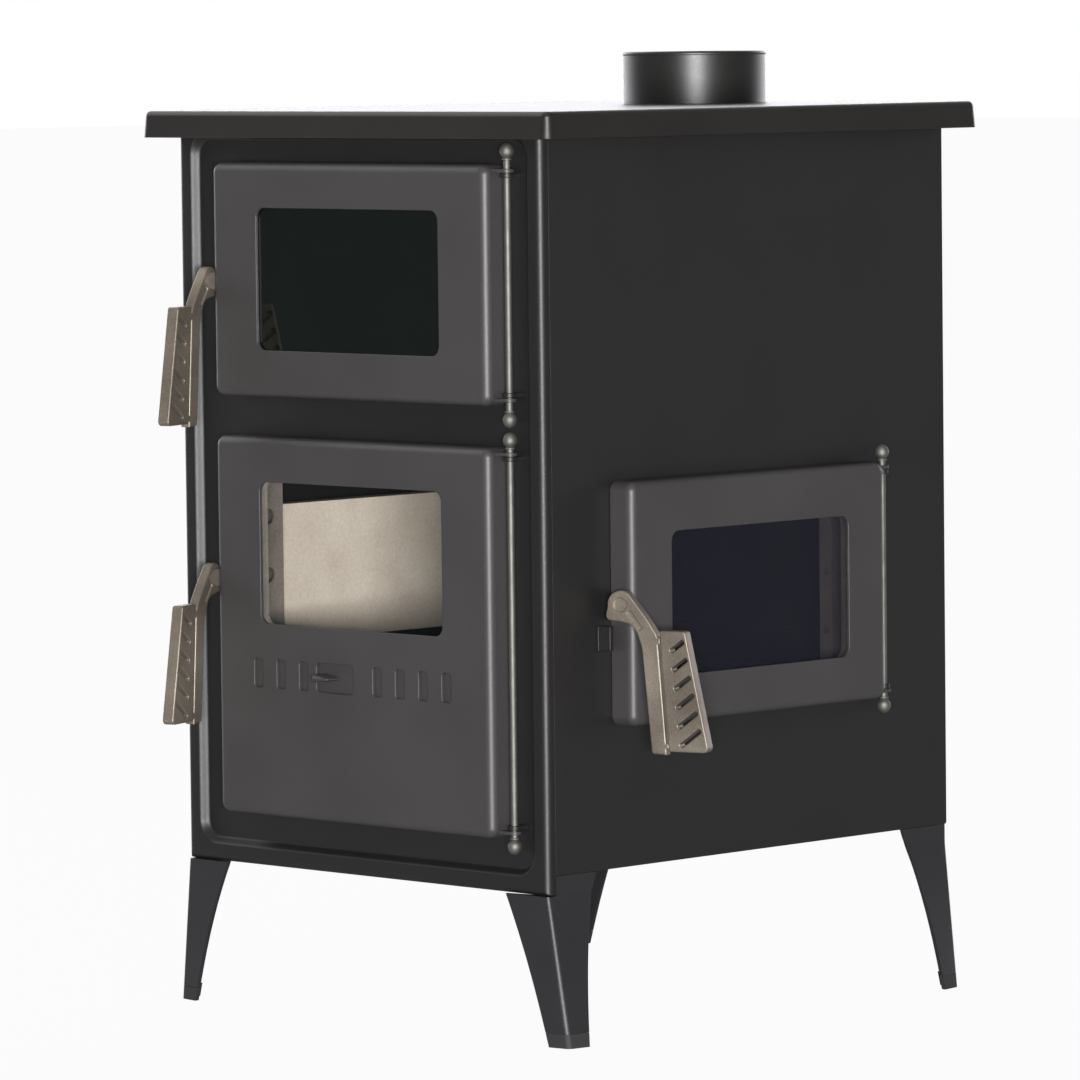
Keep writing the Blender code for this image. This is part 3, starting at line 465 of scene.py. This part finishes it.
def top_plate():
    """Pressed cooking plate: the edge profile runs from the top face round a 5 mm bend, down a rim that leans
    out 2 mm, round the rim's foot and back up inside to the underside."""
    low, high = box_of("top_plate")
    collar = box_of("flue_collar")
    center = (collar[0] + collar[1]) / 2
    lean, deep = 2 * MM, high[2] - low[2]
    skin = Skin()
    edge = rounded(low[0], high[0], low[1], high[1], 9 * MM, 8)
    top = bend(5 * MM, 0.0, steps=8) + (lean * 0.9, 0)
    foot = [(0.15 * MM, 1.2 * MM - deep), (0, 0.6 * MM - deep), (0.4 * MM, 0.1 * MM - deep),
            (1.2 * MM, -deep), (2.6 * MM, 0.1 * MM - deep), (SHEET, 0.8 * MM - deep)]
    inside = bend(2 * MM, -SHEET)[::-1] + (lean + SHEET, 0)
    outer = skin.carried(edge, np.concatenate((top, foot, inside)))
    bore = skin.carried(circle(center, 65.3 * MM, 72), wall(0.0, -SHEET, 0.5 * MM), -1)
    skin.level(outer[0], bore[0])
    skin.level(outer[-1], bore[-1])
    made("cooking_plate", [(skin, lying(z=high[2]))], "case", PLATE_PAINT, ["top_plate"])


def flue_collar():
    """Rolled spigot: a plain tube with a small rolled lip at its top and a stop ring under the plate."""
    low, high = box_of("flue_collar")
    center = (low + high) / 2
    stop = box_of("top_plate")[1][2] - SHEET - GAP
    outer, inner = 65.0, 61.0
    top, under, base = high[2] / MM, stop / MM, low[2] / MM
    profile = [(inner, top - 2), (inner + 0.3, top - 0.6), (inner + 1.2, top), (outer - 1.0, top),
               (outer - 0.2, top - 0.4), (outer, top - 1.2), (outer, top - 2.6), (outer - 0.5, top - 3.4),
               (outer - 0.5, under + 4), (outer, under), (outer + 7.4, under), (outer + 8, under - 0.6),
               (outer + 8, under - 2.4), (outer + 7.4, under - 3), (outer, under - 3), (outer, base),
               (inner, base), (inner, top - 2)]
    made("flue_spigot", [(turned(np.array(profile) * MM, 96), lying(center[0], center[1]))], "case",
         COLLAR_PAINT, ["flue_collar"])


def front_panel():
    """Pressed front: inside its raised border the face steps down 7 mm to where the doors close. The step is
    half a cosine wave: out = depth (1 + cos(pi s)) / 2, while the inset runs from s = 0 to 1 of its width."""
    thick = PANEL_HIGH[1] - FRONT_Y
    left, right, low, high = PANEL_LOW[0], PANEL_HIGH[0], PANEL_LOW[2], PANEL_HIGH[2]
    skin = Skin()
    outer = skin.carried(rounded(left, right, low, high, 2 * MM),
                         wall(RECESS, RECESS - thick, 6.5 * MM, 0.15 * MM))
    s = np.linspace(0, 1, 15)
    step = np.column_stack((8 * MM * s, RECESS * (1 + np.cos(np.pi * s)) / 2))
    recess_edge = rounded(left + BORDER, right - BORDER, low + BORDER, high - BORDER, 22 * MM, 10)
    sunk = skin.carried(recess_edge, step)
    skin.level(outer[0], sunk[0])
    holes = [skin.carried(opening(door), wall(0.0, RECESS - thick, 0.6 * MM), -1) for door in (UPPER, LOWER)]
    skin.level(sunk[-1], *[ring[0] for ring in holes])
    skin.level(outer[-1], *[ring[-1] for ring in holes])
    # The front pressing's paint is darker than the sides' as painted shade.
    made("front_pressing", [(skin, upright(PANEL_PLANE))], "case", FRONT_PAINT_WITH_PAINTED_SHADE, ["front_panel"])


def side_sheets():
    """Side sheets with rounded cut edges; the right one has the loading door's opening."""
    for name, outside, holes in (("side_panel_left", False, []), ("side_panel_right", True, [opening(SIDE)])):
        low, high = box_of(name)
        edge = rounded(low[1], high[1], low[2], high[2], 2 * MM)
        skin = plate(edge, holes, wall(0.0, -SHEET, 0.15 * MM), wall(0.0, -SHEET, 0.6 * MM))
        if outside:
            place = sideways(high[0])
        else:
            place = (lambda edge_x: lambda p: np.column_stack((edge_x - p[:, 2], p[:, 0], p[:, 1])))(low[0])
        made(name.replace("panel", "sheet"), [(skin, place)], "case", CASE_PAINT, [name])


def folded(name, height, thick):
    """L sections of a leg at the given heights, outer fold first. Going up, both flanges widen as
    0.55 h + 0.45 h^2.4 of their extra width, the fold leans in to the case's corner, and the flanges close
    from a slightly open angle to a right angle. Flat parts are bounded by 0.8 mm edges."""
    high = box_of(name)[1]
    side = 1 if high[0] > MIDDLE_X else -1
    end = 1 if high[1] > 0 else -1
    case_x = SIDE_PLANE if side > 0 else box_of("side_panel_left")[0][0]
    case_y = box_of("rear_panel")[1][1] if end > 0 else FRONT_Y
    climb = height / box_of("side_panel_left")[0][2]
    share = (0.55 * climb + 0.45 * climb ** 2.4)[:, None]
    lean = np.maximum(0, 1 - height / PANEL_LOW[2])[:, None]
    wide, deep = 21.5 * MM + 36 * MM * share, 22 * MM + 38 * MM * share
    outer, inner, edge, soft = 4.0 * MM, 1.2 * MM, 0.8 * MM, 0.25 * MM
    near, far = thick - edge, thick - soft
    parts = [(arc((outer, outer), outer, 270, 180, 6), 0, 0),
             (np.array(((0, -edge), (soft, 0), (edge, 0), (near, 0), (far, 0), (thick, -edge))), 0, 1),
             (arc((thick + inner, thick + inner), inner, 180, 270, 4), 0, 0),
             (np.array(((-edge, thick), (0, far), (0, near), (0, edge), (0, soft), (-edge, 0))), 1, 0)]
    x = np.concatenate([part[:, 0] + wide * across for part, across, _ in parts], 1)
    y = np.concatenate([part[:, 1] + deep * along for part, _, along in parts], 1)
    if end < 0:
        beside = height > PANEL_LOW[2] - GAP / 2
        x[beside] = np.minimum(x[beside], thick)
        y[beside] = np.maximum(y[beside], PANEL_HIGH[1] - FRONT_Y + GAP)
    slope = 0.15 * lean
    level = np.repeat(height[:, None], x.shape[1], 1)
    skin = Skin()
    number = skin.rings(np.stack((case_x + side * (18 * MM * lean - x + slope * y),
                                  case_y + end * (slope * x - 5.5 * MM * lean - y), level), -1))
    skin.level(number[0])
    skin.level(number[-1])
    return [(skin, lying())]


def leg(name):
    """Folded leg: an L section with a 4 mm fold and 3 mm walls."""
    low, high = box_of(name)
    joint = high[2] if high[1] > 0 else PANEL_LOW[2] - GAP
    step = () if high[1] > 0 else (joint + GAP, high[2])
    height = np.concatenate((np.linspace(low[2], joint, 28), step))
    made(name + "_folded", folded(name, height, SHEET), "case", LEG_PAINT, [name])


def foot(name):
    """Moulded cap that carries the leg's section on to the floor with thicker walls."""
    low, high = box_of(name)
    height = np.linspace(low[2], high[2], 4)
    made(name + "_cap", folded(name, height, 5 * MM), "case", RUBBER, [name])


# ---------------------------------------------------------------- doors
LUG_OUTLINE = 6.2


def lug(door, z):
    """A level ear from the door's edge to a round end about the hinge rod."""
    reach = HINGE_OFFSET + 3 * MM
    half = LUG_OUTLINE * MM
    turn = arc((0, 0), half, -90, 90, 14)
    body = np.array(((-reach, half), (-reach, -half)))
    line = np.concatenate((turn, body))
    thick = SHEET
    skin = plate(lambda inset: shifted_in(line, inset), [circle((0, 0), 3.7 * MM, 24)],
                 wall(thick / 2, -thick / 2, 0.5 * MM), wall(thick / 2, -thick / 2, 0.3 * MM))
    return skin, door.hinge_level(z)


SLOT_Z = 303 * MM
SLOT_OFFSETS = np.array((-117, -88.5, -60, 32, 60, 88.5, 117)) * MM
SLOT_HALF = (5.5 * MM, 13 * MM)
KNOB_WINDOW = (-44 * MM, 2 * MM)


def air_slots(door):
    """Outlines of the primary air slots and of the wider window for the slider's knob."""
    middle = (door.low + door.high) / 2
    half, rise = SLOT_HALF
    holes = [rounded(middle + x - half, middle + x + half, SLOT_Z - rise, SLOT_Z + rise, 3 * MM, 4)
             for x in SLOT_OFFSETS]
    holes.append(rounded(middle + KNOB_WINDOW[0], middle + KNOB_WINDOW[1], SLOT_Z - rise, SLOT_Z + rise,
                         4 * MM, 4))
    return holes


def door_shell(door, slots=()):
    """Folded door pan: the profile starts on the face, turns an 8 mm bend, runs down the side to a rolled lip
    and back up inside to the sheet's underside. The window and slots are cut through the face."""
    lip = np.array(((0, 0.9), (0.12, 0.5), (0.5, 0.3), (2.5, 0.3), (2.88, 0.5), (3, 0.9))) * MM
    inside = bend(5 * MM, DOOR_THICKNESS - SHEET)[::-1] + (SHEET, 0)
    profile = np.concatenate((bend(8 * MM, DOOR_THICKNESS, steps=10), lip, inside))
    edge = rounded(door.low, door.high, door.bottom, door.top, 9 * MM, 8)
    window = rounded(*door.window, 9 * MM, 8)
    cut = wall(DOOR_THICKNESS, DOOR_THICKNESS - SHEET, 0.7 * MM, 0.4 * MM)
    skin = plate(edge, [window, *slots], profile, cut)
    lug_z = 4 * MM + SHEET / 2
    lugs = [lug(door, door.bottom + lug_z), lug(door, door.top - lug_z)]
    made(door.name + "_pan", [(skin, door.place), *lugs], door.name, DOOR_PAINT,
         [door.name + "_shell"])


def seal(door):
    """Rope seal: an oval section carried around the door's back."""
    angle = np.linspace(0, 2 * np.pi, 17)
    section = np.column_stack((5 * MM - 4.9 * MM * np.cos(angle), 4.3 * MM + 3.6 * MM * np.sin(angle)))
    skin = Skin()
    edge = SEAL_INSET
    path = rounded(door.low + edge, door.high - edge, door.bottom + edge, door.top - edge, 11 * MM, 8)
    skin.carried(path, section)
    made(door.name + "_rope", [(skin, door.place)], door.name, ROPE, [door.name + "_seal"])


def finial(end, way):
    """(radius, height) pairs of a turned knob beyond a rod's end: a neck ring, then a ball that narrows to
    its tip."""
    t = np.linspace(0.12, 1, 14)
    skew = t ** 0.82
    ball = np.column_stack((6.1 * MM * np.sqrt(np.maximum(0, 1 - (2 * skew - 1) ** 2)), 12.6 * MM * t))
    neck = np.array(((3.0, -2.2), (4.0, -1.9), (4.3, -1.2), (4.0, -0.5), (3.1, -0.2))) * MM
    start = end - way * 12.6 * MM
    pairs = np.concatenate((neck, ball))
    pairs[:, 1] = start + way * pairs[:, 1]
    return pairs


def hinge(door):
    """Chromed rod with a turned knob on each end, and the two brackets that hold it to the case."""
    low, high = door.rod
    profile = np.concatenate((finial(high, 1)[::-1], finial(low, -1)))
    made(door.name + "_rod", [(turned(profile, 32), lying(door.hinge[0], door.hinge[1]))], "case", CHROME,
         [door.name + "_hinge_rod"])
    for place in ("lower", "upper"):
        name = f"{door.name}_bracket_{place}"
        bottom, top = box_of(name)
        half, root = 5.5 * MM, door.hinge_out - GAP
        line = np.concatenate((arc((0, 0), half, 0, 180, 14), np.array(((-half, -root), (half, -root)))))
        thick = (top[2] - bottom[2]) / 2
        skin = plate(lambda inset: shifted_in(line, inset), [circle((0, 0), 3.3 * MM, 24)],
                     wall(thick, -thick, 0.6 * MM), wall(thick, -thick, 0.3 * MM))
        made(name + "_ear", [(skin, door.hinge_level((bottom[2] + top[2]) / 2))], "case", CASE_PAINT,
             [name])


HANDLE_TILT = math.radians(18)


def handle(door, joint):
    """Cast lever and pierced grip in one plane that leans 18 degrees towards the door's middle. The lever's
    boss is dished and its neck has a long groove; six slanted slots pierce the grip."""
    pivot = np.array(next(j["pos_m"] for j in frame["joints"] if j["name"] == joint))
    turn = HANDLE_TILT - (0 if door.facing == "side" else math.pi / 2)
    across = np.array((math.cos(turn), math.sin(turn), 0))
    out = np.array((math.sin(turn), -math.cos(turn), 0))

    def place(p):
        return pivot + p[:, :1] * across + p[:, 2:] * out + p[:, 1:2] * np.array((0, 0, 1))

    boss = [(12.5 * math.cos(a), 12.5 * math.sin(a)) for a in np.radians(np.linspace(30, 190, 9))]
    line = boss + [(-14.2, -9.4), (-12, -13.4), (-6, -13.8), (9, -16), (15.5, -23.5), (19.8, -36),
                   (28.4, -126.5), (42.2, -127), (42.4, -122), (44.6, -122), (44.2, -117), (42.0, -117),
                   (35.3, -33), (37.3, -33), (36.9, -27), (34.9, -27), (33.5, -23.5), (26.5, -13), (18.5, -3)]
    fillets = [1] * len(boss) + [2, 2, 2, 5, 6, 5, 2.5, 0.4, 0.4, 0.4, 0.4, 0.4, 0.4, 0.4, 0.4, 0.4, 1, 4, 4]
    dish = circle((0, 0), 6.2 * MM, 32)
    groove = traced([(8.5, -3.2), (21.5, -19.6), (18.0, -21.6), (5.5, -7.0)], 1.8)
    half = 4.5 * MM
    pocket = np.array(((0.5, 4.5), (0.15, 4.38), (0, 4.1), (-0.3, 3.5), (-0.8, 3.3))) * MM
    lever = plate(traced(line, fillets), [], wall(half, -half, 1.5 * MM), None, [dish, groove], pocket, True)
    reach = abs(door.low - GAP - pivot[door.axis])
    spigot = turned(np.array(((0, 0), (7.0, 0), (7.5, 0.5), (7.5, 9.0), (0, 9.0))) * MM, 32)
    to_door = np.array((1, 0, 0)) if door.facing == "front" else np.array((0, 1, 0))
    aside = np.cross(to_door, (0, 0, 1))

    def beside(p):
        scale = (reach + 1 * MM) / (9 * MM)
        sunk = (p[:, 2:] * scale - 1 * MM) * to_door
        return pivot + sunk + p[:, :1] * aside + p[:, 1:2] * np.array((0, 0, 1))

    made(door.name + "_lever", [(lever, place), (spigot, beside)], door.name + "_handle", PEWTER,
         [door.name + "_handle_arm"])

    rim = traced([(37.3, -21), (61, -21), (82, -121), (79, -124), (45.2, -124), (45.0, -122), (38.0, -33)],
                 [1.2, 2.5, 2.2, 2.2, 0.8, 0.4, 0.6])
    slots = []
    lean = np.radians(37)
    along, beyond = np.array((math.cos(lean), math.sin(lean))), np.array((math.sin(lean), -math.cos(lean)))
    for share in np.linspace(0, 1, 6):
        start = np.array((47.5 + 8.5 * share, -38.5 - 80.5 * share))
        end = start + along * (15.0 + 8.5 * share)
        corners = [start + 2 * beyond, end + 2 * beyond, end - 2 * beyond, start - 2 * beyond]
        slots.append(traced(corners, 1.6))
    half = 5.5 * MM
    grip = plate(rim, slots, wall(half, -half, 1.2 * MM), wall(half, -half, 1.0 * MM))
    made(door.name + "_grip", [(grip, place)], door.name + "_handle", PEWTER,
         [door.name + "_handle_grip"])


def keeper(door):
    """Catch on the case under the handle's tongue: a foot with a thin upright fin."""
    name = door.name + "_keeper"
    low, high = box_of(name)
    a, out = door.axis, 1 - door.axis
    reach = abs((low if door.facing == "front" else high)[out] - door.plane)
    foot_plate = plate(rounded(low[a], high[a], low[2], high[2], 1 * MM), [],
                       wall(3 * MM, GAP, 0.5 * MM), None)
    middle = high[a] - 3 * MM
    fin = plate(rounded(middle - 2 * MM, middle + 2 * MM, low[2] + 0.5 * MM, high[2] - 0.5 * MM, 0.8 * MM),
                [], wall(reach, 2 * MM, 0.7 * MM, 0.2 * MM), None)
    made(name + "_catch", [(foot_plate, door.place), (fin, door.place)], "case", CASE_PAINT,
         [name])


def slider():
    """Air slider: a plate with the slots' pattern 14 mm off, and a tapered tongue that stands through the
    door."""
    low, high = box_of("air_slider")
    middle = (LOWER.low + LOWER.high) / 2
    front = DOOR_THICKNESS - SHEET - GAP
    travel = 14 * MM
    half = SLOT_HALF[0]
    holes = [rounded(middle + x - travel - half, middle + x - travel + half, low[2] + 6 * MM,
                     high[2] - 6 * MM, 1 * MM, 3) for x in SLOT_OFFSETS]
    edge = wall(front, front - 2.5 * MM, 0.3 * MM)
    sheet = plate(rounded(low[0], high[0], low[2], high[2], 1.5 * MM), holes, edge, edge)
    knob_x = middle - 29 * MM
    t = np.linspace(0, 1, 12)
    angle = np.linspace(0, 2 * np.pi, 28, endpoint=False)
    reach = LOWER.plane - low[1]
    wide = 11 * MM - 1.5 * MM * t ** 3
    tall = 4.4 * MM - 0.8 * MM * t ** 2
    square = 0.55
    ring_x = np.sign(np.cos(angle)) * np.abs(np.cos(angle)) ** square
    ring_z = np.sign(np.sin(angle)) * np.abs(np.sin(angle)) ** square
    taper = 1 - 0.7 * (ring_x[None] + 1) / 2
    close = np.sqrt(np.maximum(0, 1 - np.maximum(0, (t - 0.85) / 0.15) ** 2))[:, None]
    grid = np.stack((knob_x + wide[:, None] * ring_x[None] * (0.75 + 0.25 * close),
                     SLOT_Z + tall[:, None] * ring_z[None] * taper * (0.35 + 0.65 * close),
                     np.repeat((front - 1 * MM + (reach - front + 1 * MM) * t)[:, None], 28, 1)), -1)
    tongue = Skin()
    number = tongue.rings(grid)
    tongue.level(number[0])
    tongue.level(number[-1])
    made("air_slide", [(sheet, LOWER.place), (tongue, LOWER.place)], "air_slider", DOOR_PAINT,
         ["air_slider"])


# ---------------------------------------------------------------- assembly
top_plate()
flue_collar()
front_panel()
side_sheets()
for end_name in ("front", "rear"):
    for side_name in ("left", "right"):
        leg(f"leg_{end_name}_{side_name}")
        foot(f"foot_{end_name}_{side_name}")
door_shell(UPPER)
door_shell(LOWER, air_slots(LOWER))
door_shell(SIDE)
for one, lift in ((UPPER, "upper_handle_lift"), (LOWER, "lower_handle_lift"), (SIDE, "side_handle_lift")):
    seal(one)
    hinge(one)
    handle(one, lift)
    keeper(one)
slider()

CARRIED_OVER = {
    "rear_panel": CASE_PAINT, "base_panel": CASE_PAINT, "oven_box": STEEL, "baffle_plate": CAST_IRON,
    "hearth_plate": CAST_IRON, "grate": CAST_IRON, "liner_board_left": BOARD, "liner_plate_rear": CAST_IRON,
    "air_post_front": STEEL, "air_post_rear": STEEL, "ash_shelf": STEEL, "ash_pan": STEEL,
    "oven_rack": CHROME, "slider_rail_lower": STEEL, "slider_rail_upper": STEEL,
}
# The oven's pane carries painted shade: it is near-black and nearly opaque in place of the dark oven behind
# it.
for door, pane in ((UPPER, OVEN_GLASS_WITH_PAINTED_SHADE), (LOWER, FIRE_GLASS), (SIDE, SIDE_GLASS)):
    CARRIED_OVER[door.name + "_glass"] = pane
    CARRIED_OVER[door.name + "_glass_frame"] = STEEL
for name, finish in CARRIED_OVER.items():
    carried = frame["nodes"][name]
    carried.data.materials.clear()
    carried.data.materials.append(finish)


# ---------------------------------------------------------------- floor, light and camera
def studio():
    """A pale floor and a dim room. One large light near the camera makes bends that face it gleam, and three
    weak ones above and to the left fill in. A pale band low behind the stove lights it and whitens level
    faces seen at a grazing angle; the camera sees a white backdrop and a floor of nearly even white."""
    reach = 40.0
    mesh = bpy.data.meshes.new("studio_floor")
    mesh.from_pydata([(-reach, -reach, 0), (reach, -reach, 0), (reach, reach, 0), (-reach, reach, 0)], [],
                     [(0, 1, 2, 3)])
    floor = bpy.data.objects.new("studio_floor", mesh)
    bpy.context.scene.collection.objects.link(floor)
    pale = bpy.data.materials.new("floor_matt_white")
    pale.use_nodes = True
    shade = pale.node_tree
    shader = shade.nodes["Principled BSDF"]
    shader.inputs["Base Color"].default_value = linear("#b8b8b8")
    shader.inputs["Roughness"].default_value = 0.9
    glow = node(shade, "ShaderNodeEmission", {"Color": linear("#ffffff")})
    seen = node(shade, "ShaderNodeLightPath")
    share = node(shade, "ShaderNodeMapRange", {"Value": seen.outputs["Is Camera Ray"], "To Max": 0.95})
    lit = node(shade, "ShaderNodeMixShader", {0: share.outputs[0], 1: shader.outputs[0], 2: glow.outputs[0]})
    shade.links.new(lit.outputs[0], shade.nodes["Material Output"].inputs["Surface"])
    mesh.materials.append(pale)

    world = bpy.data.worlds.new("studio_room")
    bpy.context.scene.world = world
    world.use_nodes = True
    tree = world.node_tree
    backdrop = tree.nodes["Background"]
    backdrop.inputs["Color"].default_value = linear("#ffffff")
    backdrop.inputs["Strength"].default_value = 1.0
    way = node(tree, "ShaderNodeTexCoord").outputs["Generated"]
    behind = node(tree, "ShaderNodeVectorMath", {0: way, 1: (-0.7, 0.7, 0.0)}, operation="DOT_PRODUCT")
    facing = node(tree, "ShaderNodeMapRange", {"Value": behind.outputs["Value"],
                                               "From Min": 0.35, "From Max": 0.75})
    climb = node(tree, "ShaderNodeSeparateXYZ", {0: way}).outputs["Z"]
    low = node(tree, "ShaderNodeMapRange", {"Value": climb, "From Min": 0.12, "From Max": 0.45,
                                            "To Min": 4.2, "To Max": 0.0})
    high = node(tree, "ShaderNodeMapRange", {"Value": climb, "From Min": 0.4, "From Max": 0.9,
                                             "To Min": 1.2, "To Max": 0.0})
    wall_light = node(tree, "ShaderNodeMath", {0: low.outputs[0], 1: high.outputs[0]}, operation="ADD")
    strength = node(tree, "ShaderNodeMath", {0: facing.outputs[0], 1: wall_light.outputs[0], 2: 0.10},
                    operation="MULTIPLY_ADD")
    room = node(tree, "ShaderNodeBackground", {"Color": linear("#f6f6fa"), "Strength": strength.outputs[0]})
    sight = node(tree, "ShaderNodeLightPath")
    both = node(tree, "ShaderNodeMixShader", {0: sight.outputs["Is Camera Ray"], 1: room.outputs[0],
                                              2: backdrop.outputs[0]})
    tree.links.new(both.outputs[0], tree.nodes["World Output"].inputs["Surface"])

    middle = (Vector(CAD_BOX[0]) + Vector(CAD_BOX[1])) / 2
    for label, azimuth, height, distance, size, power in (
            ("key", 46.5, 0.62, 7.5, (2.2, 1.0), 850), ("overhead", 20, 3.4, 0.8, (2.5, 2.5), 20),
            ("upper_left", -86, 3.3, 2.9, (2.4, 2.4), 26),
            ("front_left", -55, 2.6, 3.35, (1.6, 1.6), 18)):
        light = bpy.data.lights.new(label, "AREA")
        light.shape = "RECTANGLE"
        light.size, light.size_y = size
        light.energy = power
        lamp = bpy.data.objects.new(label, light)
        bpy.context.scene.collection.objects.link(lamp)
        lamp.visible_camera = False
        turn = math.radians(azimuth)
        lamp.location = (middle.x + distance * math.sin(turn), middle.y - distance * math.cos(turn), height)
        lamp.rotation_euler = (middle - lamp.location).to_track_quat("-Z", "Y").to_euler()


def camera():
    """A long lens from the front right, a little above, tilted by less than a degree."""
    azimuth, down, roll = math.radians(44.5626), math.radians(4.2498), math.radians(-0.6636)
    level = math.cos(down)
    forward = Vector((-math.sin(azimuth) * level, math.cos(azimuth) * level, -math.sin(down)))
    right = Vector((math.cos(azimuth), math.sin(azimuth), 0))
    up = right.cross(forward)
    rolled_right = math.cos(roll) * right + math.sin(roll) * up
    rolled_up = math.cos(roll) * up - math.sin(roll) * right
    data = bpy.data.cameras.new("camera")
    data.lens = 234.43
    data.sensor_width = 36
    data.clip_end = 200
    view = bpy.data.objects.new("camera", data)
    bpy.context.scene.collection.objects.link(view)
    turn = Matrix((rolled_right, rolled_up, -forward)).transposed().to_4x4()
    view.matrix_world = Matrix.Translation((4.34916, -4.44833, 0.87440)) @ turn
    bpy.context.scene.camera = view


studio()
camera()
bpy.context.scene.view_settings.view_transform = "Standard"
